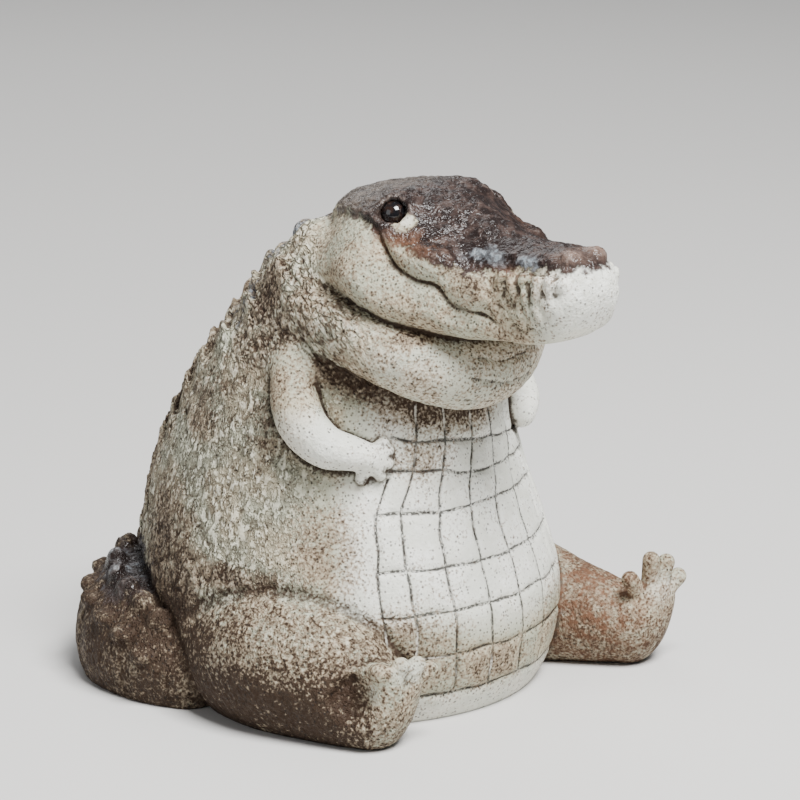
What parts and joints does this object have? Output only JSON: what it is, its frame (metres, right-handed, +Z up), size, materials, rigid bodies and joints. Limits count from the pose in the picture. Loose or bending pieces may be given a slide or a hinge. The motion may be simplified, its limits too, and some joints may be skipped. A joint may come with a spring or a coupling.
{
  "type": "alligator figurine",
  "caption": "Small fired-clay figurine of a fat alligator sitting upright, hands on its plated belly, legs stuck out and tail curled round one side.",
  "frame": {"origin": "on the flat underside, below the axis of the round torso", "axes": "+Z up out of the table, -Y the way the belly and snout face, +X the figure's own left side"},
  "size_m": [0.0778, 0.0905, 0.0807],
  "materials": {
    "fired_clay": "matte unglazed clay with a brown wash in its hollows and a dark satin glaze over the head, back and eyes"
  },
  "bodies": {
    "root": {"alligator": "fired_clay"}
  },
  "joints": []
}
